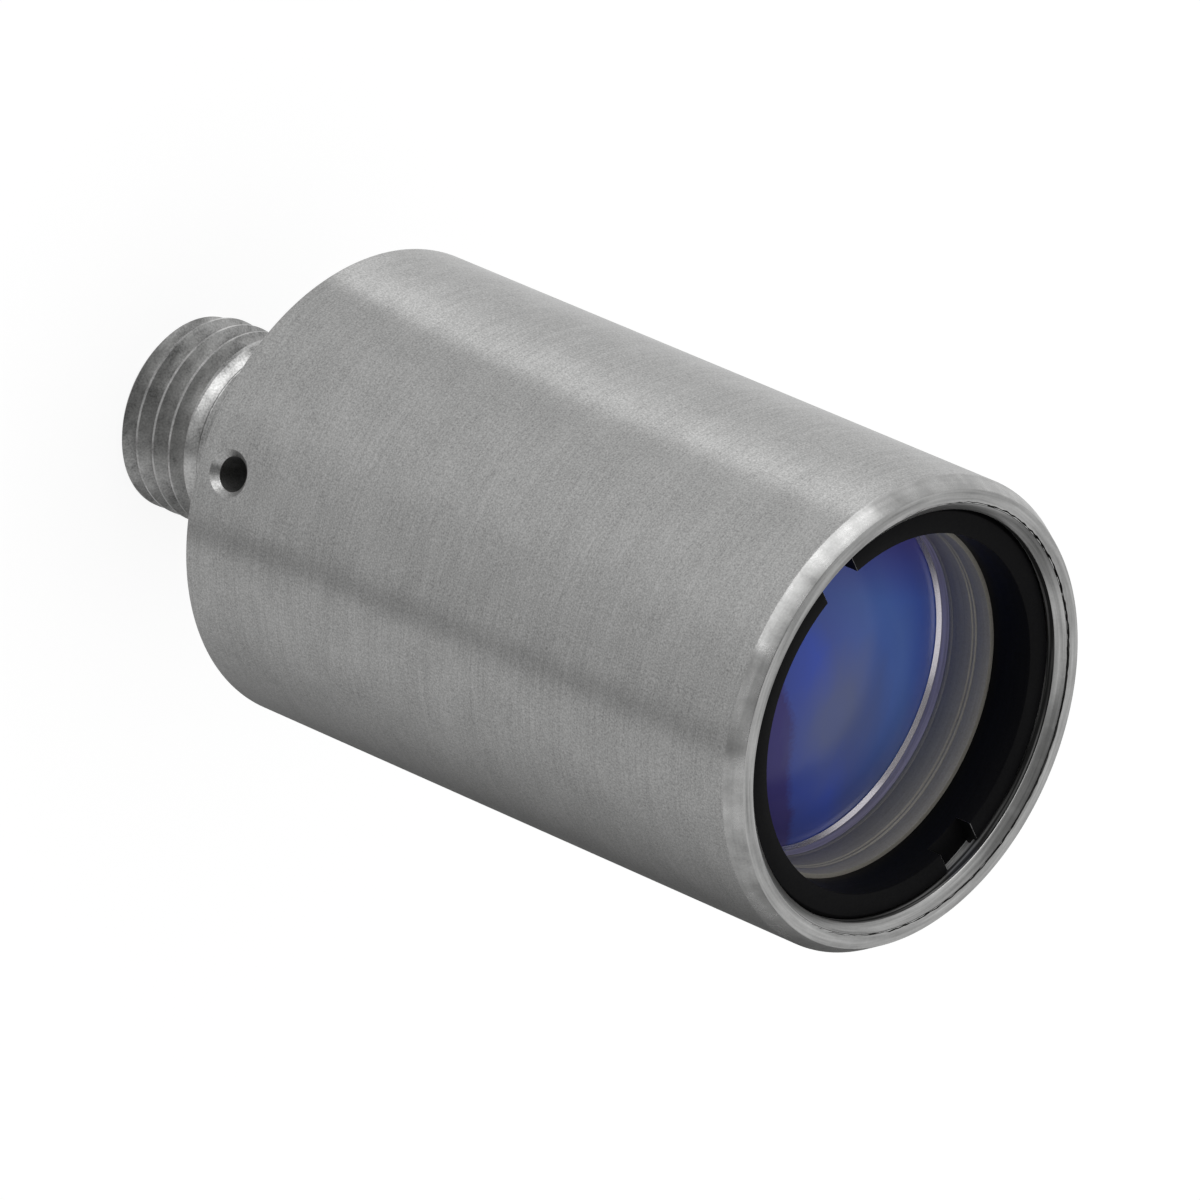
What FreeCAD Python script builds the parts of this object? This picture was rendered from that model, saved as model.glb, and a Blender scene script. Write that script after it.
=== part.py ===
"""Fiber collimator: a slim metal barrel with a lens stack in front and a threaded connector stub behind.

The optical axis is Z. The stub's flat end face lies at z = 0 and the lens end points up.
The locking screw's hole lies on the +X side. All sizes are in millimetres.
"""

import math
import os

import FreeCAD
import Part

V = FreeCAD.Vector

# Barrel
barrel_diameter = 15.0
barrel_length = 23.4
front_chamfer_depth = 0.30
front_chamfer_length = 0.55
rear_edge_break = 0.10
barrel_wall = 1.13
ring_bore_step = 0.10
mouth_chamfer = 0.28
ring_bore_depth = 5.0
receptacle_bore = 8.0
receptacle_wall = 2.1

# Connector receptacle
stub_length = 7.5
stub_diameter = 6.3
stub_chamfer = 0.22
thread_length = 2.97
runout_length = 0.35
runout_depth = 0.20
relief_length = 0.28
relief_diameter = 5.84
relief_front_side = 0.15
relief_rear_side = 0.02
ferrule_diameter = 3.175
ferrule_reach = 9.8
ferrule_clearance = 0.0125
ferrule_lead_in = 0.25
flange_diameter = 9.6
flange_thickness = 1.1
flange_clearance = 0.1
light_cone_mouth = 5.0
shim_thickness = 0.3

# Locking screw of the receptacle
screw_hole_diameter = 1.10
screw_hole_from_rear = 1.32
screw_countersink_diameter = 1.55
screw_recess = 1.515
screw_socket_width = 0.55
screw_socket_depth = 0.7
screw_chamfer = 0.12

# Front retaining ring
ring_width = 0.80
ring_thickness = 1.53
ring_recess = 0.50
ring_edge_chamfer = 0.12
slot_width = 1.40
slot_depth = 0.57
slot_angle = -40.0

# Lens stack, from the front
lens_edge_hidden = 0.90
crown_front_radius = 12.0
crown_edge_thickness = 1.14
cement_radius = 10.5
flint_centre_thickness = 1.6
flint_rear_radius = 30.0
meniscus_front_radius = 10.5
meniscus_centre_thickness = 3.2
meniscus_rear_radius = 22.0
air_gap = 0.5
lens_bevel = 0.15
front_spacer_height = 2.17
spacer_lip_width = 0.05
spacer_lip_height = 0.30
spacer_groove_from_top = 0.55
spacer_groove_width = 0.16
spacer_groove_depth = 0.06
stop_thickness = 1.0
stop_width = 1.65
stop_edge_thickness = 0.25

# Running and seating clearances, all radial or axial gaps
slide_clearance = 0.02
seat_clearance = 0.005


def sag(radius, height):
    """How far a sphere of this radius falls away from its vertex at this height from the axis."""
    return radius - math.sqrt(radius * radius - height * height)


def turned(points):
    """A solid of revolution about Z from a closed outline of (r, z) points."""
    corners = [V(r, 0, z) for r, z in points]
    face = Part.Face(Part.makePolygon(corners + corners[:1]))
    return face.revolve(V(0, 0, 0), V(0, 0, 1), 360)


def ball_below(radius, vertex):
    """A ball whose highest point is this vertex on the axis. Its own poles lie across the axis."""
    ball = Part.makeSphere(radius, V(0, 0, 0), V(1, 0, 0), -90, 90, 360)
    ball.translate(V(0, 0, vertex - radius))
    return ball


def ball_above(radius, vertex):
    """A ball whose lowest point is this vertex on the axis."""
    ball = Part.makeSphere(radius, V(0, 0, 0), V(1, 0, 0), -90, 90, 360)
    ball.translate(V(0, 0, vertex + radius))
    return ball


def lens_blank(bottom, top, lower_bevel=None, upper_bevel=None):
    """An edged glass disc. A bevel height is where that end's bevel meets the ground face."""
    rim = lens_radius - lens_bevel
    points = [(0, bottom)]
    if lower_bevel is None:
        points += [(lens_radius, bottom)]
    else:
        points += [(rim, bottom), (rim, lower_bevel), (lens_radius, lower_bevel + lens_bevel)]
    if upper_bevel is None:
        points += [(lens_radius, top)]
    else:
        points += [(lens_radius, upper_bevel - lens_bevel), (rim, upper_bevel), (rim, top)]
    return turned(points + [(0, top)])


def along_radius(shape, angle, height):
    """Moves a shape made about +Z so that it points outwards along a radius at this angle and height."""
    placed = shape.copy()
    placed.rotate(V(0, 0, 0), V(0, 1, 0), 90)
    placed.rotate(V(0, 0, 0), V(0, 0, 1), angle)
    placed.translate(V(0, 0, height))
    return placed


# Diameters that follow the barrel's
lens_bore = barrel_diameter - 2 * barrel_wall
ring_bore = lens_bore + 2 * ring_bore_step
mouth_diameter = ring_bore + 2 * mouth_chamfer
ring_outer_diameter = ring_bore - 2 * slide_clearance
ring_inner_diameter = ring_outer_diameter - 2 * ring_width
lens_diameter = lens_bore - 2 * slide_clearance
clear_aperture = lens_diameter - 2 * lens_edge_hidden
stop_aperture = lens_diameter - 2 * stop_width
spacer_outer_diameter = lens_diameter

# Diameters that follow the receptacle's
spigot_diameter = receptacle_bore - 2 * slide_clearance
lens_seat_bore = flange_diameter + 2 * flange_clearance

# Heights along the axis, from the stub's end face
barrel_rear = stub_length
barrel_front = stub_length + barrel_length
ring_front = barrel_front - ring_recess
ring_rear = ring_front - ring_thickness
spacer_rear = ring_rear - front_spacer_height
spacer_radius = clear_aperture / 2
lens_radius = lens_diameter / 2
lens_rim = lens_radius - lens_bevel
crown_vertex = spacer_rear - seat_clearance + sag(crown_front_radius, spacer_radius)
crown_rim = crown_vertex - sag(crown_front_radius, lens_rim)
cement_rim = crown_rim - crown_edge_thickness
cement_vertex = cement_rim - sag(cement_radius, lens_radius)
flint_vertex = cement_vertex - flint_centre_thickness
meniscus_vertex = flint_vertex - air_gap
meniscus_rear_vertex = meniscus_vertex - meniscus_centre_thickness
meniscus_rim = meniscus_rear_vertex - sag(meniscus_rear_radius, lens_rim)
stop_front = meniscus_rim - seat_clearance
lens_seat = stop_front - stop_thickness
receptacle_seat = barrel_rear + receptacle_wall
flange_rear = receptacle_seat + shim_thickness
flange_front = flange_rear + flange_thickness
screw_height = barrel_rear + screw_hole_from_rear
screw_foot = spigot_diameter / 2 + seat_clearance
screw_head = barrel_diameter / 2 - screw_recess


def make_barrel():
    """One turned tube: front mouth, ring bore, lens bore with its seat, and the receptacle's seat."""
    outer = barrel_diameter / 2
    mouth = mouth_diameter / 2
    ring = ring_bore / 2
    lens = lens_bore / 2
    seat = lens_seat_bore / 2
    hole = receptacle_bore / 2
    ring_bore_end = barrel_front - ring_bore_depth
    body = turned([
        (hole, barrel_rear),
        (outer - rear_edge_break, barrel_rear),
        (outer, barrel_rear + rear_edge_break),
        (outer, barrel_front - front_chamfer_length),
        (outer - front_chamfer_depth, barrel_front),
        (mouth, barrel_front),
        (ring, barrel_front - (mouth - ring)),
        (ring, ring_bore_end),
        (lens, ring_bore_end - (ring - lens)),
        (lens, lens_seat),
        (seat, lens_seat),
        (seat, receptacle_seat),
        (hole, receptacle_seat),
    ])
    narrow = screw_hole_diameter / 2
    sink_depth = screw_countersink_diameter / 2 - narrow
    drill = turned([
        (0, 0),
        (narrow, 0),
        (narrow, outer - sink_depth),
        (narrow + 2 * sink_depth, outer + sink_depth),
        (0, outer + sink_depth),
    ])
    return body.cut(along_radius(drill, 0, screw_height))


def make_receptacle():
    """The connector's stub, thread run-out, relief groove, spigot and flange, bored through for the ferrule."""
    bore = ferrule_diameter / 2 + ferrule_clearance
    stub = stub_diameter / 2
    relief = relief_diameter / 2
    spigot = spigot_diameter / 2
    flange = flange_diameter / 2
    runout_end = thread_length + runout_length
    relief_rear = runout_end + relief_rear_side
    relief_front = relief_rear + relief_length
    return turned([
        (bore + ferrule_lead_in, 0),
        (stub - stub_chamfer, 0),
        (stub, stub_chamfer),
        (stub, thread_length),
        (stub - runout_depth, runout_end),
        (relief, relief_rear),
        (relief, relief_front),
        (stub, relief_front + relief_front_side),
        (stub, barrel_rear),
        (spigot, barrel_rear),
        (spigot, flange_rear),
        (flange, flange_rear),
        (flange, flange_front),
        (light_cone_mouth / 2, flange_front),
        (bore, ferrule_reach),
        (bore, ferrule_lead_in),
    ])


def make_focus_shim():
    """The thin washer under the receptacle's flange that sets the fibre's distance from the lenses."""
    inner = receptacle_bore / 2
    outer = flange_diameter / 2
    return turned([
        (inner, receptacle_seat),
        (outer, receptacle_seat),
        (outer, flange_rear),
        (inner, flange_rear),
    ])


def make_locking_screw():
    """A short socket set screw that bears on the spigot, deep in its hole."""
    radius = screw_hole_diameter / 2 - slide_clearance
    body = turned([
        (0, screw_foot),
        (radius - screw_chamfer, screw_foot),
        (radius, screw_foot + screw_chamfer),
        (radius, screw_head - screw_chamfer),
        (radius - screw_chamfer, screw_head),
        (0, screw_head),
    ])
    corner = screw_socket_width / math.sqrt(3)
    sides = [V(corner * math.cos(math.radians(60 * k)), corner * math.sin(math.radians(60 * k)),
               screw_head - screw_socket_depth) for k in range(7)]
    socket = Part.Face(Part.makePolygon(sides)).extrude(V(0, 0, screw_socket_depth))
    return along_radius(body.cut(socket), 0, screw_height)


def make_retaining_ring():
    """The black ring that holds the stack, with two opposed spanner slots in its front face."""
    inner = ring_inner_diameter / 2
    outer = ring_outer_diameter / 2
    body = turned([
        (inner, ring_rear),
        (outer - ring_edge_chamfer, ring_rear),
        (outer, ring_rear + ring_edge_chamfer),
        (outer, ring_front - ring_edge_chamfer),
        (outer - ring_edge_chamfer, ring_front),
        (inner, ring_front),
    ])
    slot = Part.makeBox(2 * barrel_diameter, slot_width, slot_depth,
                        V(-barrel_diameter, -slot_width / 2, ring_front - slot_depth))
    slot.rotate(V(0, 0, 0), V(0, 0, 1), slot_angle)
    return body.cut(slot)


def make_front_spacer():
    """The bright turned ring between the retaining ring and the front lens, with a sloped lip at the lens."""
    outer = spacer_outer_diameter / 2
    wall = spacer_radius + spacer_lip_width
    groove = wall + spacer_groove_depth
    groove_top = ring_rear - spacer_groove_from_top
    return turned([
        (spacer_radius, spacer_rear),
        (outer, spacer_rear),
        (outer, ring_rear),
        (wall, ring_rear),
        (wall, groove_top),
        (groove, groove_top - spacer_groove_width / 2),
        (wall, groove_top - spacer_groove_width),
        (wall, spacer_rear + spacer_lip_height),
    ])


def make_crown():
    """The doublet's front element, convex on both sides."""
    blank = lens_blank(cement_vertex - air_gap, crown_vertex + air_gap, None, crown_rim)
    return blank.common(ball_below(crown_front_radius, crown_vertex)).common(
        ball_above(cement_radius, cement_vertex))


def make_flint():
    """The doublet's rear element, cemented to the crown over their common sphere."""
    rear_rim = flint_vertex + sag(flint_rear_radius, lens_rim)
    blank = lens_blank(flint_vertex - air_gap, cement_rim, rear_rim, None)
    return blank.common(ball_above(flint_rear_radius, flint_vertex)).cut(
        ball_above(cement_radius, cement_vertex))


def make_middle_spacer():
    """The ring that sets the air gap between the doublet and the meniscus."""
    top = flint_vertex + sag(flint_rear_radius, spacer_radius) - seat_clearance
    bottom = meniscus_vertex - sag(meniscus_front_radius, spacer_radius) + seat_clearance
    return turned([
        (spacer_radius, bottom),
        (spacer_outer_diameter / 2, bottom),
        (spacer_outer_diameter / 2, top),
        (spacer_radius, top),
    ])


def make_meniscus():
    """The rear lens, convex to the front and hollow to the fibre."""
    front_rim = meniscus_vertex - sag(meniscus_front_radius, lens_rim)
    blank = lens_blank(meniscus_rim - air_gap, meniscus_vertex + air_gap, meniscus_rim, front_rim)
    return blank.common(ball_below(meniscus_front_radius, meniscus_vertex)).cut(
        ball_below(meniscus_rear_radius, meniscus_rear_vertex))


def make_rear_stop():
    """The black stop between the meniscus and the barrel's lens seat, thinned to a knife edge."""
    outer = spacer_outer_diameter / 2
    knife = stop_aperture / 2
    slope = stop_thickness - stop_edge_thickness
    return turned([
        (knife, stop_front - stop_edge_thickness),
        (knife + slope, lens_seat),
        (outer, lens_seat),
        (outer, stop_front),
        (knife, stop_front),
    ])


PIECES = {
    "barrel": make_barrel,
    "connector_receptacle": make_receptacle,
    "focus_shim": make_focus_shim,
    "receptacle_locking_screw": make_locking_screw,
    "front_retaining_ring": make_retaining_ring,
    "front_spacer_ring": make_front_spacer,
    "doublet_crown_lens": make_crown,
    "doublet_flint_lens": make_flint,
    "middle_spacer_ring": make_middle_spacer,
    "meniscus_lens": make_meniscus,
    "rear_stop_ring": make_rear_stop,
}

os.makedirs("parts", exist_ok=True)
for name, make in PIECES.items():
    shape = make()
    if not shape.isValid() or len(shape.Solids) != 1:
        raise RuntimeError(name + " is not one valid solid")
    solid = shape.Solids[0]
    solid.exportStep("parts/" + name + ".step")
    print(name, "volume", round(solid.Volume, 3))
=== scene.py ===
"""Looks of the fiber collimator: turned steel barrel, threaded stub, slotted black ring, coated lenses.

The optical axis is Z, the stub's flat end stands on the floor at z = 0 and the lens end points up.
Profiles are written in millimetres as (radius, height) and turned round the axis.
"""

import math

import bpy
from mathutils import Matrix, Vector


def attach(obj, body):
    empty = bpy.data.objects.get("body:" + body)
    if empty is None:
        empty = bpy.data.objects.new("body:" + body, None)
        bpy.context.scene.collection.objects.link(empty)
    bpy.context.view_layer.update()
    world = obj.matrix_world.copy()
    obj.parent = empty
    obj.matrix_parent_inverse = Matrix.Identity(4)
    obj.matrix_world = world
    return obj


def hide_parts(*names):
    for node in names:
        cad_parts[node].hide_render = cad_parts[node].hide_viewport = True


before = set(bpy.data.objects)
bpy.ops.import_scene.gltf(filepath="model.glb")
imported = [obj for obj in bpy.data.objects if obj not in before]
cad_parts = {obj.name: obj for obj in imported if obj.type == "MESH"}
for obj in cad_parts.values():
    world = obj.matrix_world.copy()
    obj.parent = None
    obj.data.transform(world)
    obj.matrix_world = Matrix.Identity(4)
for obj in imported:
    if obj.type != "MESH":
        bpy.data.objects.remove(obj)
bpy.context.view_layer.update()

MM = 0.001
WELD = 0.000002

# Barrel sizes, in millimetres
BARREL_R = 7.5
BARREL_REAR = 7.5
BARREL_FRONT = 30.9
REAR_CHAMFER = 0.10
CHAMFER_DEPTH = 0.30
CHAMFER_LENGTH = 0.55
MOUTH_R = 6.75
RING_BORE_R = 6.47
RING_BORE_REAR = 25.9
LENS_BORE_R = 6.37
LENS_BORE_FRONT = 25.8
LENS_SEAT_Z = 15.804
SEAT_BORE_R = 4.9
REAR_BORE_R = 4.0
FLANGE_SEAT_Z = 9.6

# The side hole, and the heights of two extra rings that keep the faces round it small
HOLE_Z = 8.82
HOLE_R = 0.55
SINK_R = 0.775
DRILL_START = 3.0
HOLE_BELT = (7.9, 9.75)

# The mouth's thread
MOUTH_PITCH = 0.635
MOUTH_MAJOR_R = 6.79
MOUTH_GROOVE_START = 28.42
MOUTH_GROOVE_TURNS = 3.04

# The rough line on the rim: tilt in degrees, and the side where it is deepest
NOTCH_TILT = 0.75
NOTCH_LOW = (-0.99, -0.10)
NOTCH_ROUGHNESS = 0.026

# Connector stub
STUB_CHAMFER = 0.24
STUB_PITCH = 0.7056
STUB_CREST_R = 3.15
STUB_ROOT_R = 2.76
STUB_GROOVE_START = -0.911
STUB_GROOVE_TURNS = 5.6
STUB_GROOVE_FADE = 0.33
RELIEF_R = 2.92
RELIEF_REAR = 3.34
RELIEF_FRONT = 3.62
FERRULE_R = 1.6
FERRULE_STOP_Z = 9.8
SPIGOT_R = 3.98
FLANGE_R = 4.8
FLANGE_REAR = 9.9
FLANGE_FRONT = 11.0

# Retaining ring; the slot's angle is in degrees
RING_MAJOR_R = 6.74
RING_INNER_R = 5.65
RING_FRONT = 30.40
RING_REAR = 28.87
RING_GROOVE_START = MOUTH_GROOVE_START - MOUTH_PITCH * 1.5
RING_GROOVE_TURNS = 5.2
SLOT_WIDTH = 1.40
SLOT_DEPTH = 0.57
SLOT_ANGLE = -40.0
SLOT_BAR_LENGTH = 20
SLOT_WEAR = 0.05

# Lenses: the rim's radius, the radius at which each face ends, and each face's curve and place.
# The cemented faces overlap by a hair, so that no air shows between them.
LENS_R = 6.35
LENS_FACE_R = 6.20
CROWN_CURVE = 12.0
CROWN_VERTEX = 28.004
CEMENT_CURVE = 10.5
CEMENT_VERTEX = 23.0005
CEMENT_OVERLAP = 0.01
FLINT_CURVE = 30.0
FLINT_VERTEX = 21.4005
MENISCUS_CURVE = 10.5
MENISCUS_VERTEX = 20.9005
MENISCUS_REAR_CURVE = 22.0
MENISCUS_REAR_VERTEX = 17.7005

# Steps of a lens face from axis to rim, and of one turn of a thread
BOW_STEPS = 14
THREAD_STEPS = 96

# Limits that let every height or slope of a face pass
ANY_HEIGHT = (-1.0, 40.0)
ANY_SLOPE = (-1.1, 1.1)

# Modelling


def pick(piece):
    """Leaves exactly this piece selected and active."""
    bpy.ops.object.select_all(action="DESELECT")
    piece.select_set(True)
    bpy.context.view_layer.objects.active = piece


def bow(radius, vertex, rim, up):
    """Points of a spherical face from the axis out to the rim, up for a face that falls away downwards."""
    points = []
    for i in range(BOW_STEPS + 1):
        r = rim * i / BOW_STEPS
        fall = radius - math.sqrt(radius * radius - r * r)
        points.append((r, vertex - fall if up else vertex + fall))
    return points


def chain(points):
    """Draws a chain of points (x, y, z) in metres as a new mesh, from a plane merged to one point."""
    bpy.ops.object.select_all(action="DESELECT")
    bpy.ops.mesh.primitive_plane_add(size=MM, location=(0, 0, 0))
    piece = bpy.context.object
    bpy.ops.object.mode_set(mode="EDIT")
    bpy.ops.mesh.select_mode(type="VERT")
    bpy.ops.mesh.select_all(action="SELECT")
    bpy.ops.mesh.merge(type="CENTER")
    bpy.ops.transform.translate(value=points[0])
    for start, end in zip(points, points[1:]):
        step = (end[0] - start[0], end[1] - start[1], end[2] - start[2])
        bpy.ops.mesh.extrude_region_move(TRANSFORM_OT_translate={"value": step})
    return piece


def weld():
    """Merges doubles and points the faces outwards. Edit mode."""
    bpy.ops.mesh.select_all(action="SELECT")
    bpy.ops.mesh.remove_doubles(threshold=WELD)
    bpy.ops.mesh.normals_make_consistent(inside=False)


def bevel_picked(width):
    """Bevels the selected edges. Edit mode."""
    bpy.ops.mesh.bevel(offset=width * MM, segments=2, affect="EDGES", clamp_overlap=True)


def turn(name, profile, steps=256, edge=0.0, sharpness=20.0):
    """Turns a profile round the axis and breaks its sharp edges. A profile off the axis is closed."""
    points = [(r * MM, 0.0, z * MM) for r, z in profile]
    if profile[0][0] > 0 or profile[-1][0] > 0:
        points.append(points[0])
    piece = chain(points)
    piece.name = name
    bpy.ops.mesh.select_all(action="SELECT")
    bpy.ops.mesh.spin(steps=steps, angle=math.tau, center=(0, 0, 0), axis=(0, 0, 1))
    weld()
    if edge > 0:
        bpy.ops.mesh.select_all(action="DESELECT")
        bpy.ops.mesh.select_mode(type="EDGE")
        bpy.ops.mesh.edges_select_sharp(sharpness=math.radians(sharpness))
        bevel_picked(edge)
    bpy.ops.object.mode_set(mode="OBJECT")
    return piece


def cut(piece, tool):
    """Cuts the tool's shape out of the piece and removes the tool."""
    pick(piece)
    modifier = piece.modifiers.new("cut", "BOOLEAN")
    modifier.operation = "DIFFERENCE"
    modifier.solver = "EXACT"
    modifier.object = tool
    bpy.ops.object.modifier_apply(modifier=modifier.name)
    bpy.data.objects.remove(tool)


def finish(piece, node, slot, material, angle=30.0):
    """Smooth shading, material and body of a finished piece that stands for a node; its slot is not used.
    """
    pick(piece)
    bpy.ops.object.shade_smooth_by_angle(angle=math.radians(angle))
    piece.data.materials.clear()
    piece.data.materials.append(material)
    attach(piece, "root")
    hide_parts(node)


def dress_faces(piece, material, radii, heights, slopes=ANY_SLOPE):
    """Gives one more material to the faces between these limits.

    The limits are for the radius and the height of the face's centre in mm, and for its normal's z.
    """
    piece.data.materials.append(material)
    slot = len(piece.data.materials) - 1
    for face in piece.data.polygons:
        middle = face.center / MM
        in_radii = radii[0] < math.hypot(middle.x, middle.y) < radii[1]
        in_heights = heights[0] < middle.z < heights[1]
        if in_radii and in_heights and slopes[0] < face.normal.z < slopes[1]:
            face.material_index = slot


# Cutters


def lift_end(tool, start_z, pitch, turns, fade, lift):
    """Moves the last part of a helical cutter outwards, so that its groove runs out to nothing."""
    for point in tool.data.vertices:
        angle = math.atan2(point.co.y, point.co.x) / math.tau
        turn_here = round((point.co.z / MM - start_z) / pitch - angle) + angle
        share = (turn_here - (turns - fade)) / fade
        if share > 0:
            radius = math.hypot(point.co.x, point.co.y)
            grow = 1 + share * lift * MM / radius
            point.co.x *= grow
            point.co.y *= grow


def thread_cutter(points, start_z, pitch, turns, fade=0.0, lift=0.0):
    """A helical cutter: the closed section of (radius, height) points, screwed up the axis."""
    ring = [(r * MM, 0.0, (start_z + z) * MM) for r, z in points]
    tool = chain(ring + [ring[0]])
    weld()
    bpy.ops.object.mode_set(mode="OBJECT")
    modifier = tool.modifiers.new("screw", "SCREW")
    modifier.axis = "Z"
    modifier.angle = math.tau * turns
    modifier.screw_offset = pitch * turns * MM
    modifier.iterations = 1
    modifier.steps = int(THREAD_STEPS * turns)
    modifier.render_steps = int(THREAD_STEPS * turns)
    modifier.use_merge_vertices = False
    modifier.use_normal_calculate = True
    pick(tool)
    bpy.ops.object.modifier_apply(modifier=modifier.name)
    bpy.ops.object.mode_set(mode="EDIT")
    bpy.ops.mesh.select_all(action="SELECT")
    bpy.ops.mesh.fill_holes(sides=0)
    weld()
    bpy.ops.object.mode_set(mode="OBJECT")
    if fade > 0:
        lift_end(tool, start_z, pitch, turns, fade, lift)
    return tool


def ragged_notch():
    """The cutter of the rough line that the chamfering tool left between the front face and the mouth.

    The tool ran a little askew, so the line is deepest towards NOTCH_LOW and fades out opposite.
    """
    section = [(6.72, BARREL_FRONT + 0.16), (6.85, BARREL_FRONT + 0.16), (6.785, BARREL_FRONT - 0.03)]
    tool = turn("notch", section, steps=200)
    bpy.ops.object.mode_set(mode="EDIT")
    bpy.ops.mesh.select_all(action="SELECT")
    bpy.ops.transform.vertex_random(offset=NOTCH_ROUGHNESS * MM, uniform=1.0, normal=0.0, seed=7)
    bpy.ops.object.mode_set(mode="OBJECT")
    tilt = Matrix.Rotation(math.radians(NOTCH_TILT), 4, Vector((-NOTCH_LOW[1], NOTCH_LOW[0], 0)))
    middle = Matrix.Translation((0, 0, BARREL_FRONT * MM))
    tool.data.transform(middle @ tilt @ middle.inverted())
    return tool


def drill():
    """The side hole's cutter: a straight drill with a countersink, pointing out along +X."""
    outer = BARREL_R + 0.3
    sink = BARREL_R - (SINK_R - HOLE_R)
    half = [
        (DRILL_START, 0.0),
        (DRILL_START, HOLE_R),
        (sink, HOLE_R),
        (outer, HOLE_R + outer - sink),
        (outer, 0.0),
    ]
    tool = chain([(x * MM, 0.0, (HOLE_Z + r) * MM) for x, r in half])
    bpy.ops.mesh.select_all(action="SELECT")
    bpy.ops.mesh.spin(steps=64, angle=math.tau, center=(0, 0, HOLE_Z * MM), axis=(1, 0, 0))
    weld()
    bpy.ops.object.mode_set(mode="OBJECT")
    return tool


def slot_bar():
    """A bar across the ring's front that cuts both spanner slots."""
    bpy.ops.object.select_all(action="DESELECT")
    bpy.ops.mesh.primitive_cube_add(size=1.0, location=(0, 0, 0))
    tool = bpy.context.object
    bpy.ops.object.mode_set(mode="EDIT")
    bpy.ops.mesh.select_all(action="SELECT")
    bpy.ops.transform.resize(value=(SLOT_BAR_LENGTH * MM, SLOT_WIDTH * MM, 2 * SLOT_DEPTH * MM))
    bpy.ops.object.mode_set(mode="OBJECT")
    tool.data.transform(Matrix.Rotation(math.radians(SLOT_ANGLE), 4, "Z"))
    tool.data.transform(Matrix.Translation((0, 0, RING_FRONT * MM)))
    return tool


def wear_slot_edges(piece, width, material):
    """Breaks the slots' edges on the ring's face and inner wall, worn to bare metal and painted bright as
    a highlight.
    """
    turned_back = Matrix.Rotation(math.radians(-SLOT_ANGLE), 4, "Z")

    def on_slot_edge(point):
        local = turned_back @ point / MM
        on_face = abs(local.z - RING_FRONT) < 0.002
        on_wall = abs(math.hypot(local.x, local.y) - RING_INNER_R) < 0.01
        on_side = abs(abs(local.y) - SLOT_WIDTH / 2) < 0.002
        return (on_face or on_wall) and on_side and local.z > RING_FRONT - SLOT_DEPTH - 0.01

    piece.data.materials.append(material)
    piece.active_material_index = len(piece.data.materials) - 1
    pick(piece)
    bpy.ops.object.mode_set(mode="EDIT")
    bpy.ops.mesh.select_mode(type="EDGE")
    bpy.ops.mesh.select_all(action="DESELECT")
    bpy.ops.object.mode_set(mode="OBJECT")
    points = piece.data.vertices
    for edge in piece.data.edges:
        edge.select = all(on_slot_edge(points[i].co) for i in edge.vertices)
    bpy.ops.object.mode_set(mode="EDIT")
    bevel_picked(width)
    bpy.ops.object.material_slot_assign()
    bpy.ops.object.mode_set(mode="OBJECT")


# Finishes

STEEL_TINT = (1.0, 1.0, 0.99)
NEUTRAL = (1.0, 1.0, 1.0)

# Sockets of the colour mix node, which have numbers only
MIX_A = 6
MIX_B = 7
MIX_RESULT = 2


def grey(value, tint=STEEL_TINT):
    """A grey of this brightness with a slight tint."""
    return tuple(value * t for t in tint)


def set_stops(ramp, stops):
    """Gives a ramp node its stops of (place, colour)."""
    elements = ramp.color_ramp.elements
    while len(elements) < len(stops):
        elements.new(0.5)
    for element, (place, tone) in zip(elements, stops):
        element.position = place
        element.color = (*tone, 1.0)


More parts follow.
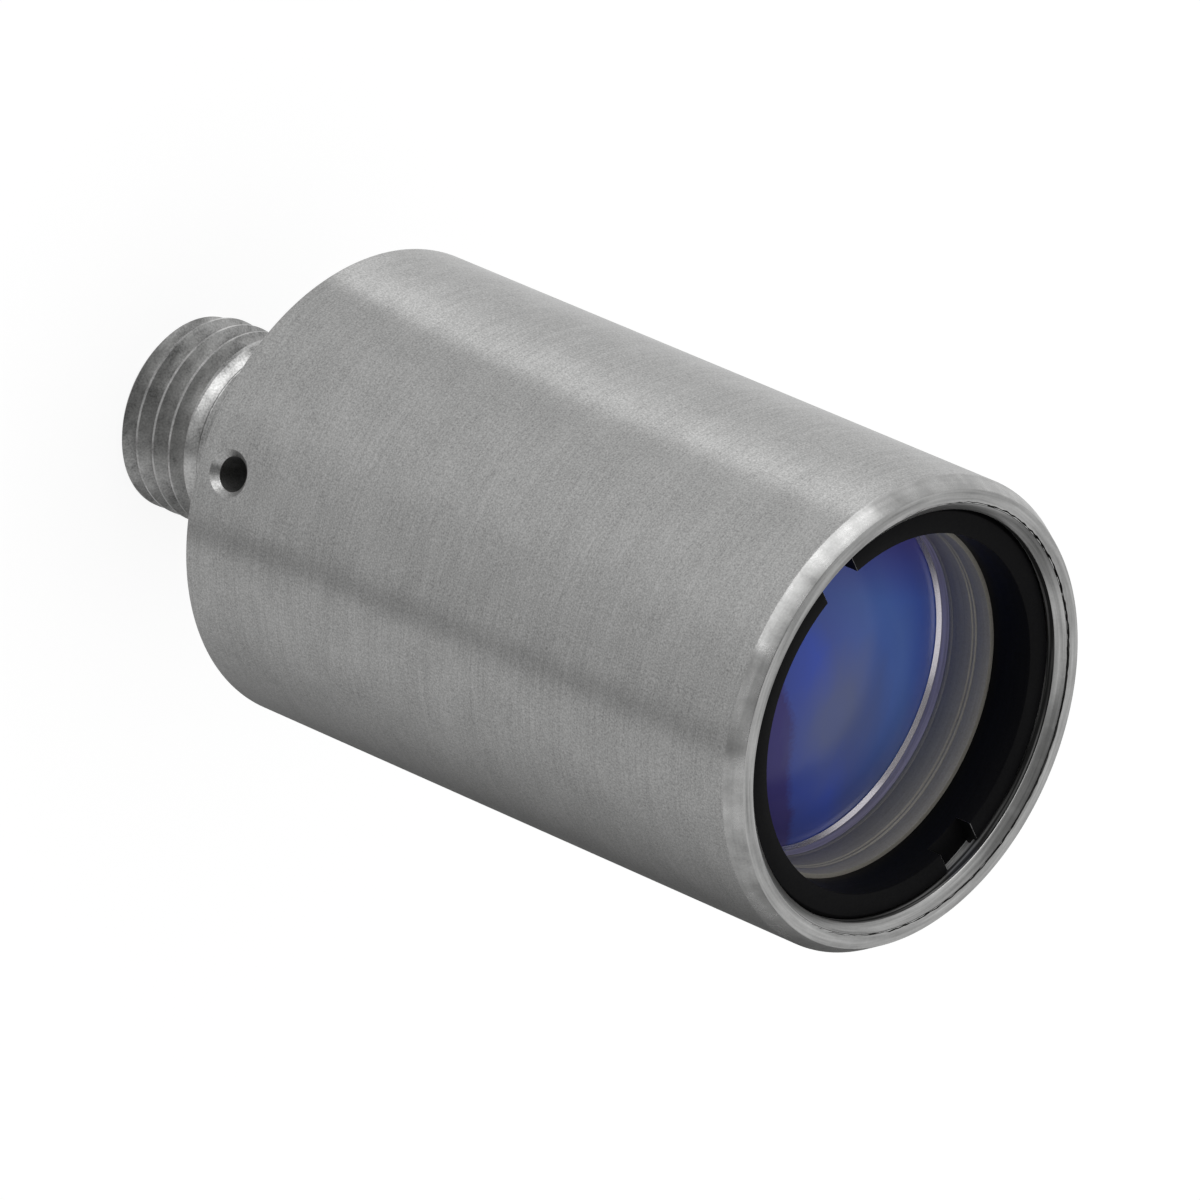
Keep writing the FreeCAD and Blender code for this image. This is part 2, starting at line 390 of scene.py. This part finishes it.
class Finish:
    """A procedural material in the making, on Object coordinates."""

    def __init__(self, name):
        self.material = bpy.data.materials.new(name)
        self.material.use_nodes = True
        self.tree = self.material.node_tree
        self.shader = self.tree.nodes["Principled BSDF"]
        self.place = self.tree.nodes.new("ShaderNodeTexCoord").outputs["Object"]

    def node(self, kind, **values):
        made = self.tree.nodes.new(kind)
        for key, value in values.items():
            setattr(made, key, value)
        return made

    def link(self, source, target):
        self.tree.links.new(source, target)

    def set(self, **values):
        """Plain values of the shader's sockets."""
        for key, value in values.items():
            self.shader.inputs[key.replace("_", " ")].default_value = value

    def feed(self, socket, source):
        """Links a source to one of the shader's sockets."""
        self.link(source, self.shader.inputs[socket])

    def axes(self, place=None):
        """The place's separate X, Y and Z."""
        parts = self.node("ShaderNodeSeparateXYZ")
        self.link(place or self.place, parts.inputs["Vector"])
        return parts.outputs

    def mapped(self, scale, location=(0.0, 0.0, 0.0), turned=0.0, place=None):
        """The place scaled along x, y and z, turned round z by an angle in degrees, and moved."""
        mapping = self.node("ShaderNodeMapping")
        mapping.inputs["Scale"].default_value = scale
        mapping.inputs["Location"].default_value = location
        mapping.inputs["Rotation"].default_value = (0.0, 0.0, math.radians(turned))
        self.link(place or self.place, mapping.inputs["Vector"])
        return mapping.outputs["Vector"]

    def along_outline(self):
        """Coordinates whose third axis runs along the turned outline, on walls and on faces alike."""
        parts = self.axes()
        flat = self.node("ShaderNodeCombineXYZ")
        path = self.node("ShaderNodeCombineXYZ")
        for axis in "XY":
            self.link(parts[axis], flat.inputs[axis])
            self.link(parts[axis], path.inputs[axis])
        radius = self.node("ShaderNodeVectorMath", operation="LENGTH")
        self.link(flat.outputs["Vector"], radius.inputs[0])
        outline = self.node("ShaderNodeMath", operation="ADD")
        self.link(radius.outputs["Value"], outline.inputs[0])
        self.link(parts["Z"], outline.inputs[1])
        self.link(outline.outputs["Value"], path.inputs["Z"])
        return path.outputs["Vector"]

    def noise(self, scale, detail=2.0, place=None):
        """Noise whose cells are the given number per metre, for all axes or for x, y and z."""
        if not isinstance(scale, tuple):
            scale = (scale, scale, scale)
        noise = self.node("ShaderNodeTexNoise")
        noise.inputs["Scale"].default_value = 1.0
        noise.inputs["Detail"].default_value = detail
        noise.inputs["Roughness"].default_value = 0.5
        self.link(self.mapped(scale, place=place), noise.inputs["Vector"])
        return noise.outputs["Fac"]

    def blend(self, a, b, share):
        """Mixes two masks."""
        mix = self.node("ShaderNodeMix", data_type="FLOAT")
        mix.inputs["Factor"].default_value = share
        self.link(a, mix.inputs["A"])
        self.link(b, mix.inputs["B"])
        return mix.outputs["Result"]

    def tint(self, below, above, share):
        """Mixes two colours; above is a link or a plain colour, and share is a mask."""
        mix = self.node("ShaderNodeMix", data_type="RGBA")
        self.link(share, mix.inputs["Factor"])
        self.link(below, mix.inputs[MIX_A])
        if isinstance(above, tuple):
            mix.inputs[MIX_B].default_value = (*above, 1.0)
        else:
            self.link(above, mix.inputs[MIX_B])
        return mix.outputs[MIX_RESULT]

    def ramp(self, value, stops):
        """Turns a mask into colours."""
        ramp = self.node("ShaderNodeValToRGB")
        set_stops(ramp, stops)
        self.link(value, ramp.inputs["Fac"])
        return ramp.outputs["Color"]

    def rise(self, value, low, high):
        """A mask that is 0 at the low value and 1 at the high one."""
        rise = self.node("ShaderNodeMapRange")
        rise.inputs["From Min"].default_value = low
        rise.inputs["From Max"].default_value = high
        self.link(value, rise.inputs["Value"])
        return rise.outputs["Result"]

    def bump(self, value, height, after=None):
        """Relief of this height in metres, on top of an earlier one."""
        bump = self.node("ShaderNodeBump")
        bump.inputs["Strength"].default_value = 1.0
        bump.inputs["Distance"].default_value = height
        self.link(value, bump.inputs["Height"])
        if after is not None:
            self.link(after, bump.inputs["Normal"])
        return bump.outputs["Normal"]


def turned_metal(
    name,
    tone,
    spread,
    roughness,
    anisotropy=0.0,
    line_height=5e-7,
    speck_height=5e-7,
    metallic=1.0,
    lines_share=0.5,
    line_scale=14000,
    grain_scale=15000,
    cloud_share=0.2,
    cloud_scale=420,
    tint=STEEL_TINT,
):
    """Turned metal: marks that run round the axis, a fine satin grain and a slightly uneven tone."""
    finish = Finish(name)
    lines = finish.noise((350, 350, line_scale), detail=3.0, place=finish.along_outline())
    grain = finish.noise(grain_scale, detail=3.0)
    cloud = finish.noise(cloud_scale, detail=4.0)
    mottle = finish.blend(finish.blend(grain, lines, lines_share), cloud, cloud_share)
    tones = [(0.30, grey(tone - spread, tint)), (0.70, grey(tone + spread, tint))]
    finish.feed("Base Color", finish.ramp(mottle, tones))
    gloss = [(0.30, grey(roughness + 0.03, NEUTRAL)), (0.70, grey(roughness - 0.03, NEUTRAL))]
    finish.feed("Roughness", finish.ramp(mottle, gloss))
    finish.feed("Normal", finish.bump(grain, speck_height, after=finish.bump(lines, line_height)))
    finish.set(Metallic=metallic, Anisotropic=anisotropy, Anisotropic_Rotation=0.25)
    return finish.material


def mouth_thread_with_painted_shade():
    """The mouth's fine thread: bright behind the black ring, and in front of it darkened and streaked as
    painted shade in the mouth.
    """
    finish = Finish("mouth_thread_painted_shade")
    lines = finish.noise((250, 250, 11000), detail=3.0, place=finish.along_outline())
    front = finish.rise(finish.axes()["Z"], (RING_FRONT - 0.22) * MM, (RING_FRONT - 0.12) * MM)
    bright = finish.ramp(lines, [(0.35, grey(0.30)), (0.65, grey(0.75))])
    # Painted shade: in front of the ring the thread is darkened, standing for the shade in the mouth.
    painted_shade_tones = finish.ramp(lines, [(0.45, grey(0.03)), (0.70, grey(0.34))])
    finish.feed("Base Color", finish.tint(bright, painted_shade_tones, front))
    finish.feed("Normal", finish.bump(lines, 1.5e-6))
    finish.set(Metallic=0.5, Roughness=0.42)
    return finish.material


def black_anodised():
    """Matt black with a fine grain."""
    finish = Finish("black_anodised")
    grain = finish.noise(14000)
    lines = finish.noise((400, 400, 12000))
    mottle = finish.blend(grain, lines, 0.4)
    tones = [(0.3, (0.0035, 0.0035, 0.004)), (0.7, (0.0065, 0.0065, 0.007))]
    finish.feed("Base Color", finish.ramp(mottle, tones))
    gloss = [(0.3, grey(0.50, NEUTRAL)), (0.7, grey(0.42, NEUTRAL))]
    finish.feed("Roughness", finish.ramp(mottle, gloss))
    finish.feed("Normal", finish.bump(mottle, 1.5e-6))
    finish.set(Specular_IOR_Level=0.04)
    return finish.material


def glass(name, tint, ior, level, film):
    """Polished glass; film is the tint of the light that its coating throws back."""
    finish = Finish(name)
    haze = finish.noise(900, detail=1.0)
    gloss = [(0.3, grey(0.02, NEUTRAL)), (0.7, grey(0.035, NEUTRAL))]
    finish.feed("Roughness", finish.ramp(haze, gloss))
    finish.set(
        Base_Color=(*tint, 1.0),
        IOR=ior,
        Specular_IOR_Level=level,
        Specular_Tint=(*film, 1.0),
        Transmission_Weight=1.0,
    )
    return finish.material


def ground_glass():
    """The ground edge of a lens, blackened so that it throws no stray light."""
    finish = Finish("ground_glass")
    grain = finish.noise(9000, detail=3.0)
    tones = [(0.3, (0.010, 0.010, 0.012)), (0.7, (0.022, 0.022, 0.025))]
    finish.feed("Base Color", finish.ramp(grain, tones))
    finish.feed("Normal", finish.bump(grain, 4e-6))
    finish.set(Roughness=0.8, Specular_IOR_Level=0.1)
    return finish.material


# Blues of the front lens across its face: the coating's colour with painted light and reflections, ending
# in a violet edge that is a painted reflection.
CROWN_COAT_AND_REFLECTION_BLUES = [
    (0.14, (0.105, 0.205, 0.78)),
    (0.25, (0.120, 0.225, 0.66)),
    (0.36, (0.100, 0.175, 0.53)),
    (0.50, (0.095, 0.145, 0.49)),
    (0.56, (0.078, 0.135, 0.62)),
    (0.675, (0.080, 0.120, 0.50)),
    (0.700, (0.080, 0.068, 0.27)),
]
# A painted reflection: the greyish patch in the middle of the front lens.
PAINTED_REFLECTION_GREY = (0.145, 0.175, 0.33)
TOP_VIOLET = (0.125, 0.105, 0.46)


def coated_crown():
    """The front lens: its blue coating throws back most of the light, and little is seen through it.

    The blue is painted in as the coating's reflection, and drifts across the face as painted light and
    reflection, with a plain edge to the violet side that is a painted reflection.
    A greyish patch in the middle is a painted reflection, and one rim is more violet.
    """
    finish = Finish("coated_crown_glass")
    across = finish.axes(finish.mapped((100.0, 100.0, 100.0), location=(0.5, 0.0, 0.0), turned=-37))["X"]
    drift = finish.noise(300, detail=3.0)
    grain = finish.noise(9000, detail=1.0)
    mottle = finish.blend(finish.blend(across, drift, 0.12), grain, 0.02)
    blue = finish.ramp(mottle, CROWN_COAT_AND_REFLECTION_BLUES)

    # The greyish patch in the middle, a painted reflection.
    patch = finish.node("ShaderNodeTexGradient", gradient_type="SPHERICAL")
    finish.link(finish.mapped((380.0, 330.0, 0.0), location=(0.19, -0.30, 0.0)), patch.inputs["Vector"])
    streaks = finish.noise((900, 300, 300), detail=3.0)
    streaked_patch = finish.blend(patch.outputs["Fac"], streaks, 0.35)
    painted_reflection_share = finish.ramp(streaked_patch, [(0.24, (0.0, 0.0, 0.0)), (0.66, (0.85, 0.85, 0.85))])
    blue = finish.tint(blue, PAINTED_REFLECTION_GREY, painted_reflection_share)

    rim = finish.rise(finish.axes()["Y"], -0.0028, -0.0048)
    finish.feed("Base Color", finish.tint(blue, TOP_VIOLET, rim))
    finish.set(
        Roughness=0.24,
        IOR=1.5,
        Specular_IOR_Level=0.2,
        Specular_Tint=(0.75, 0.78, 1.0, 1.0),
        Transmission_Weight=0.1,
    )
    return finish.material


barrel_steel = turned_metal(
    "barrel_steel",
    0.40,
    0.16,
    0.30,
    anisotropy=0.85,
    speck_height=6e-7,
    lines_share=0.22,
    grain_scale=18000,
    cloud_share=0.14,
    cloud_scale=700,
)
chamfer_steel = turned_metal(
    "chamfer_steel",
    0.41,
    0.15,
    0.28,
    anisotropy=0.85,
    speck_height=1.2e-6,
    lines_share=0.6,
    cloud_share=0.5,
    cloud_scale=(1500, 1500, 0),
)
face_steel = turned_metal(
    "faced_steel",
    0.40,
    0.17,
    0.32,
    line_height=1.2e-6,
    speck_height=1e-6,
    lines_share=0.85,
    line_scale=8000,
    cloud_scale=900,
)
# Painted shade: a dark steel for the rim's rough notch and the stub's relief corner, where shade falls.
groove_shade_paint = turned_metal("painted_groove_shadow", 0.065, 0.04, 0.50, line_height=1e-6, speck_height=1e-6)
stub_steel = turned_metal(
    "connector_steel",
    0.36,
    0.24,
    0.30,
    anisotropy=0.4,
    line_height=1e-6,
    speck_height=2e-6,
    lines_share=0.3,
    cloud_share=0.45,
    cloud_scale=1300,
)
spacer_metal = turned_metal(
    "turned_aluminium",
    0.29,
    0.06,
    0.50,
    line_height=1.5e-6,
    speck_height=8e-7,
    metallic=0.25,
    tint=(1.0, 0.95, 0.84),
)
# Painted light: the spacer's wall next to the lens is brighter and lilac, standing for the coating's light
# on it.
wall_film_light_paint = turned_metal(
    "wall_painted_film_light",
    0.42,
    0.16,
    0.40,
    line_height=1.5e-6,
    speck_height=8e-7,
    metallic=0.25,
    lines_share=0.9,
    tint=(0.95, 0.88, 1.1),
)
# The slots' edges: bare metal worn through the black, and also painted bright as a highlight.
worn_edge_and_highlight = turned_metal("worn_edge_and_highlight", 0.55, 0.15, 0.30)
# Painted highlight: the spacer's lip on the lens is bright and lilac.
lip_highlight_paint = turned_metal("lip_painted_highlight", 0.74, 0.10, 0.25, tint=(0.97, 0.93, 1.0))
shim_metal = turned_metal("shim_steel", 0.45, 0.03, 0.30, anisotropy=0.3)
screw_black = turned_metal("black_screw_steel", 0.05, 0.02, 0.40, speck_height=1e-6)
mouth_thread_painted_shade = mouth_thread_with_painted_shade()
ring_black = black_anodised()
crown_glass = coated_crown()
lens_edge = ground_glass()
flint_glass = glass("flint_glass", (0.85, 0.87, 0.85), 1.62, 0.5, (0.6, 0.5, 1.0))
meniscus_glass = glass("meniscus_glass", (0.80, 0.84, 0.90), 1.70, 0.8, (0.7, 0.3, 0.9))

# Barrel

barrel = turn(
    "barrel_tube",
    [
        (REAR_BORE_R, BARREL_REAR),
        (BARREL_R - REAR_CHAMFER, BARREL_REAR),
        (BARREL_R, BARREL_REAR + REAR_CHAMFER),
        (BARREL_R, HOLE_BELT[0]),
        (BARREL_R, HOLE_BELT[1]),
        (BARREL_R, BARREL_FRONT - CHAMFER_LENGTH),
        (BARREL_R - CHAMFER_DEPTH, BARREL_FRONT),
        (MOUTH_R, BARREL_FRONT),
        (RING_BORE_R, BARREL_FRONT - (MOUTH_R - RING_BORE_R)),
        (RING_BORE_R, RING_BORE_REAR),
        (LENS_BORE_R, LENS_BORE_FRONT),
        (LENS_BORE_R, LENS_SEAT_Z),
        (SEAT_BORE_R, LENS_SEAT_Z),
        (SEAT_BORE_R, FLANGE_SEAT_Z),
        (REAR_BORE_R, FLANGE_SEAT_Z),
    ],
    edge=0.02,
)
mouth_section = [(6.40, -0.29), (MOUTH_MAJOR_R, -0.05), (MOUTH_MAJOR_R, 0.05), (6.40, 0.29)]
cut(barrel, thread_cutter(mouth_section, MOUTH_GROOVE_START, MOUTH_PITCH, MOUTH_GROOVE_TURNS))
cut(barrel, ragged_notch())
cut(barrel, drill())
finish(barrel, "barrel", "barrel_steel", barrel_steel)
dress_faces(barrel, face_steel, (6.46, 7.2), (30.62, 31.0), slopes=(0.5, 1.1))
dress_faces(barrel, chamfer_steel, (7.15, 8.0), (30.36, 31.0), slopes=(0.2, 1.1))
# Painted shade darkens the mouth's thread wall in front of the ring.
dress_faces(barrel, mouth_thread_painted_shade, (6.35, 6.85), (28.3, 30.62))
# Painted shade in the rim's rough notch.
dress_faces(barrel, groove_shade_paint, (6.70, 6.90), (30.70, 30.897))

# Connector stub

stub = turn(
    "connector_stub",
    [
        (FERRULE_R + 0.25, 0.0),
        (STUB_CREST_R - STUB_CHAMFER, 0.0),
        (STUB_CREST_R, STUB_CHAMFER),
        (STUB_CREST_R, 2.97),
        (2.95, 3.32),
        (RELIEF_R, RELIEF_REAR),
        (RELIEF_R, RELIEF_FRONT),
        (STUB_CREST_R, 3.77),
        (STUB_CREST_R, BARREL_REAR),
        (SPIGOT_R, BARREL_REAR),
        (SPIGOT_R, FLANGE_REAR),
        (FLANGE_R, FLANGE_REAR),
        (FLANGE_R, FLANGE_FRONT),
        (2.5, FLANGE_FRONT),
        (FERRULE_R, FERRULE_STOP_Z),
        (FERRULE_R, 0.25),
    ],
    edge=0.02,
)
stub_section = [(3.17, -0.325), (3.17, 0.325), (STUB_ROOT_R, 0.05), (STUB_ROOT_R, -0.05)]
stub_tool = thread_cutter(
    stub_section,
    STUB_GROOVE_START,
    STUB_PITCH,
    STUB_GROOVE_TURNS,
    fade=STUB_GROOVE_FADE,
    lift=STUB_CREST_R - STUB_ROOT_R,
)
cut(stub, stub_tool)
finish(stub, "connector_receptacle", "connector_steel", stub_steel)
# Painted shade: a thin dark line at the relief's front corner.
dress_faces(stub, groove_shade_paint, (2.9, 3.14), (3.60, 3.77))

# Retaining ring

ring = turn(
    "retaining_ring",
    [
        (RING_INNER_R, RING_REAR),
        (6.50, RING_REAR),
        (RING_MAJOR_R, RING_REAR + 0.24),
        (RING_MAJOR_R, RING_FRONT - 0.39),
        (6.35, RING_FRONT),
        (RING_INNER_R, RING_FRONT),
    ],
    edge=0.03,
)
ring_section = [(6.90, -0.31), (6.90, 0.31), (6.44, 0.045), (6.44, -0.045)]
cut(ring, thread_cutter(ring_section, RING_GROOVE_START, MOUTH_PITCH, RING_GROOVE_TURNS))
cut(ring, slot_bar())
finish(ring, "front_retaining_ring", "black_anodised", ring_black)
wear_slot_edges(ring, SLOT_WEAR, worn_edge_and_highlight)

# Front spacer ring, with four fine turned lines and a lip on the lens

front_spacer = turn(
    "front_spacer",
    [
        (5.45, 26.70),
        (LENS_R, 26.70),
        (LENS_R, RING_REAR),
        (5.52, RING_REAR),
        (5.50, 28.34),
        (5.55, 28.30),
        (5.50, 28.26),
        (5.50, 28.20),
        (5.55, 28.16),
        (5.50, 28.12),
        (5.50, 27.36),
        (5.51, 27.34),
        (5.50, 27.32),
        (5.50, 27.20),
        (5.51, 27.18),
        (5.50, 27.16),
        (5.50, 26.88),
        (5.38, 26.76),
        (5.38, 26.735),
    ],
    edge=0.01,
    sharpness=40.0,
)
finish(front_spacer, "front_spacer_ring", "turned_aluminium", spacer_metal)
# Painted highlight on the lip.
dress_faces(front_spacer, lip_highlight_paint, (0.0, 5.49), (26.74, 26.90))
# Painted light on the wall next to the lens.
dress_faces(front_spacer, wall_film_light_paint, (0.0, 5.52), (26.88, 27.19))

# Lenses; the doublet's ground edges are blackened

LENS_EDGE_RADII = (6.1, 7.0)
LENS_EDGE_SLOPES = (-0.75, 0.75)

crown = turn(
    "crown_lens",
    bow(CROWN_CURVE, CROWN_VERTEX, LENS_FACE_R, up=True)
    + [(LENS_R, 26.13)]
    + bow(CEMENT_CURVE, CEMENT_VERTEX, LENS_R, up=False)[::-1],
)
finish(crown, "doublet_crown_lens", "coated_crown_glass", crown_glass, angle=20.0)
dress_faces(crown, lens_edge, LENS_EDGE_RADII, ANY_HEIGHT, slopes=LENS_EDGE_SLOPES)

flint = turn(
    "flint_lens",
    bow(CEMENT_CURVE, CEMENT_VERTEX + CEMENT_OVERLAP, LENS_R, up=False)
    + [(LENS_R, 22.20)]
    + bow(FLINT_CURVE, FLINT_VERTEX, LENS_FACE_R, up=False)[::-1],
)
finish(flint, "doublet_flint_lens", "flint_glass", flint_glass, angle=20.0)
dress_faces(flint, lens_edge, LENS_EDGE_RADII, ANY_HEIGHT, slopes=LENS_EDGE_SLOPES)

meniscus = turn(
    "meniscus",
    bow(MENISCUS_CURVE, MENISCUS_VERTEX, LENS_FACE_R, up=True)
    + [(LENS_R, 18.72), (LENS_R, 16.96)]
    + bow(MENISCUS_REAR_CURVE, MENISCUS_REAR_VERTEX, LENS_FACE_R, up=True)[::-1],
)
finish(meniscus, "meniscus_lens", "meniscus_glass", meniscus_glass, angle=20.0)

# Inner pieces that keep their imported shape

for node, material in (
    ("focus_shim", shim_metal),
    ("receptacle_locking_screw", screw_black),
    ("middle_spacer_ring", ring_black),
    ("rear_stop_ring", ring_black),
):
    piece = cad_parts[node]
    piece.data.materials.clear()
    piece.data.materials.append(material)

# Studio, with sizes in metres

FLOOR_SIZE = 4.0
FLOOR_HEIGHT = -0.00002
FLOOR_GLOW = 0.86
FLOOR_TONE = 0.24
WORLD_SEEN = 0.76
WORLD_LIGHT = 0.6
CARD_RADIUS = 1.5
CARD_HEIGHT = 0.00005
LAMP_AIM = (0, 0, 0.018)

# Brightness of the card by azimuth in degrees. The card is seen only in the metal: its bright stretch near
# -88 degrees is painted light, and its dark stretch from about 105 to 150 degrees is the part's painted
# shadow on the floor.
CARD_REFLECTION_GRADE = [
    (-180, 0.87),
    (-150, 0.98),
    (-120, 0.90),
    (-103, 1.02),
    (-93, 1.26),
    (-83, 1.27),
    (-80, 0.72),
    (-52, 0.76),
    (-22, 0.73),
    (7, 0.65),
    (23, 0.65),
    (28, 0.44),
    (33, 0.44),
    (38, 0.68),
    (60, 0.66),
    (80, 0.50),
    (105, 0.30),
    (127, 0.12),
    (150, 0.12),
    (172, 0.55),
    (180, 0.87),
]


def bare_material(name):
    """A material whose tree still lacks a shader, and that tree."""
    material = bpy.data.materials.new(name)
    material.use_nodes = True
    tree = material.node_tree
    tree.nodes.remove(tree.nodes["Principled BSDF"])
    return material, tree


def seen_or_mirrored(tree):
    """A mask that is 1 for rays from the camera, from a mirroring surface and through glass."""
    path = tree.nodes.new("ShaderNodeLightPath")
    mask = path.outputs["Is Camera Ray"]
    for ray in ("Is Glossy Ray", "Is Transmission Ray"):
        larger = tree.nodes.new("ShaderNodeMath")
        larger.operation = "MAXIMUM"
        tree.links.new(mask, larger.inputs[0])
        tree.links.new(path.outputs[ray], larger.inputs[1])
        mask = larger.outputs[0]
    return mask


def floor_paper():
    """White paper: the camera, metal and glass see it white with a faint shadow."""
    material, tree = bare_material("floor_paper")
    strength = tree.nodes.new("ShaderNodeMath")
    strength.operation = "MULTIPLY"
    strength.inputs[1].default_value = FLOOR_GLOW
    tree.links.new(seen_or_mirrored(tree), strength.inputs[0])
    glow = tree.nodes.new("ShaderNodeEmission")
    tree.links.new(strength.outputs[0], glow.inputs["Strength"])
    matt = tree.nodes.new("ShaderNodeBsdfDiffuse")
    matt.inputs["Color"].default_value = (FLOOR_TONE, FLOOR_TONE, FLOOR_TONE, 1.0)
    both = tree.nodes.new("ShaderNodeAddShader")
    tree.links.new(glow.outputs[0], both.inputs[0])
    tree.links.new(matt.outputs[0], both.inputs[1])
    tree.links.new(both.outputs[0], tree.nodes["Material Output"].inputs["Surface"])
    return material


def studio_world(white, level):
    """White where it is seen or mirrored, and a plain level for soft light."""
    world = bpy.data.worlds.new("studio")
    bpy.context.scene.world = world
    world.use_nodes = True
    tree = world.node_tree
    back = tree.nodes["Background"]
    back.inputs["Color"].default_value = (1.0, 1.0, 1.0, 1.0)
    strength = tree.nodes.new("ShaderNodeMapRange")
    strength.inputs["To Min"].default_value = level
    strength.inputs["To Max"].default_value = white
    tree.links.new(seen_or_mirrored(tree), strength.inputs["Value"])
    tree.links.new(strength.outputs["Result"], back.inputs["Strength"])


def only_mirrored(piece):
    """Leaves a studio card to the rays that metal mirrors."""
    piece.visible_camera = False
    piece.visible_diffuse = False
    piece.visible_transmission = False
    piece.visible_shadow = False


def painted_reflection_glow(stops):
    """A pale to dark glow, graded by the direction round the axis: stops are (azimuth, brightness). Seen
    only in the metal, it paints light and the part's floor shadow into the reflections.
    """
    material, tree = bare_material("painted_reflection_card")
    place = tree.nodes.new("ShaderNodeTexCoord")
    around = tree.nodes.new("ShaderNodeTexGradient")
    around.gradient_type = "RADIAL"
    tree.links.new(place.outputs["Object"], around.inputs["Vector"])
    ramp = tree.nodes.new("ShaderNodeValToRGB")
    set_stops(ramp, [(azimuth / 360 + 0.5, (tone, tone, tone)) for azimuth, tone in stops])
    tree.links.new(around.outputs["Fac"], ramp.inputs["Fac"])
    glow = tree.nodes.new("ShaderNodeEmission")
    tree.links.new(ramp.outputs["Color"], glow.inputs["Color"])
    tree.links.new(glow.outputs[0], tree.nodes["Material Output"].inputs["Surface"])
    return material


def plain_glow(name, tone):
    """An even glow."""
    material, tree = bare_material(name)
    glow = tree.nodes.new("ShaderNodeEmission")
    glow.inputs["Color"].default_value = (tone, tone, tone, 1.0)
    tree.links.new(glow.outputs[0], tree.nodes["Material Output"].inputs["Surface"])
    return material


def flag(name, azimuth, elevation, distance, width, height, tone):
    """A grey card at this azimuth and elevation round the part, square to it, that only metal mirrors."""
    bpy.ops.object.select_all(action="DESELECT")
    bpy.ops.mesh.primitive_plane_add(size=1.0, location=(0, 0, 0))
    made = bpy.context.object
    made.name = name
    bpy.ops.object.mode_set(mode="EDIT")
    bpy.ops.mesh.select_all(action="SELECT")
    bpy.ops.transform.resize(value=(height, width, 1.0))
    bpy.ops.object.mode_set(mode="OBJECT")
    made.data.transform(
        Matrix.Rotation(math.radians(azimuth), 4, "Z")
        @ Matrix.Rotation(math.radians(-elevation), 4, "Y")
        @ Matrix.Translation((distance, 0, 0))
        @ Matrix.Rotation(math.radians(90), 4, "Y")
    )
    only_mirrored(made)
    made.data.materials.append(plain_glow(name, tone))


def softbox(name, azimuth, elevation, distance, width, height, power):
    """A rectangular lamp at this azimuth and elevation round the part, facing it."""
    light = bpy.data.lights.new(name, "AREA")
    light.shape = "RECTANGLE"
    light.size = width
    light.size_y = height
    light.energy = power
    lamp = bpy.data.objects.new(name, light)
    bpy.context.scene.collection.objects.link(lamp)
    a, e = math.radians(azimuth), math.radians(elevation)
    away = Vector((math.cos(e) * math.cos(a), math.cos(e) * math.sin(a), math.sin(e)))
    lamp.location = Vector(LAMP_AIM) + away * distance
    lamp.rotation_euler = away.to_track_quat("Z", "Y").to_euler()


bpy.ops.object.select_all(action="DESELECT")
bpy.ops.mesh.primitive_plane_add(size=FLOOR_SIZE, location=(0, 0, FLOOR_HEIGHT))
floor = bpy.context.object
floor.name = "floor"
floor.data.materials.append(floor_paper())

studio_world(WORLD_SEEN, WORLD_LIGHT)

# A glowing card that only metal mirrors, painting light and the part's floor shadow into its reflections.
bpy.ops.object.select_all(action="DESELECT")
bpy.ops.mesh.primitive_circle_add(
    vertices=96, radius=CARD_RADIUS, fill_type="NGON", location=(0, 0, CARD_HEIGHT)
)
card = bpy.context.object
card.name = "painted_reflection_card"
only_mirrored(card)
card.data.materials.append(painted_reflection_glow(CARD_REFLECTION_GRADE))

flag("grey_flag", 28, 15, 0.62, 0.17, 0.30, 0.30)
flag("low_side_flag", 112, 24, 0.60, 0.36, 0.30, 0.18)
flag("overhead_flag", -20, 64, 0.60, 0.70, 0.64, 0.16)
softbox("low_strip_softbox", -52, 12, 0.6, 0.95, 0.24, 1.36)

# Camera at the photograph's viewing angle

EYE = Vector((0.387322, -0.070254, 0.341013))
RIGHT = Vector((-0.64402, -0.28516, 0.70987))
DOWN = Vector((-0.08236, 0.94838, 0.30625))
AWAY = Vector((-0.76056, 0.13877, -0.63427))

lens = bpy.data.cameras.new("camera")
lens.lens = 505.46
lens.sensor_width = 36.0
lens.clip_start = 0.01
lens.clip_end = 20.0
camera = bpy.data.objects.new("camera", lens)
bpy.context.scene.collection.objects.link(camera)
turned_to = Matrix((RIGHT, -DOWN, -AWAY)).transposed().to_4x4()
camera.matrix_world = Matrix.Translation(EYE) @ turned_to
bpy.context.scene.camera = camera

bpy.context.scene.view_settings.view_transform = "Standard"
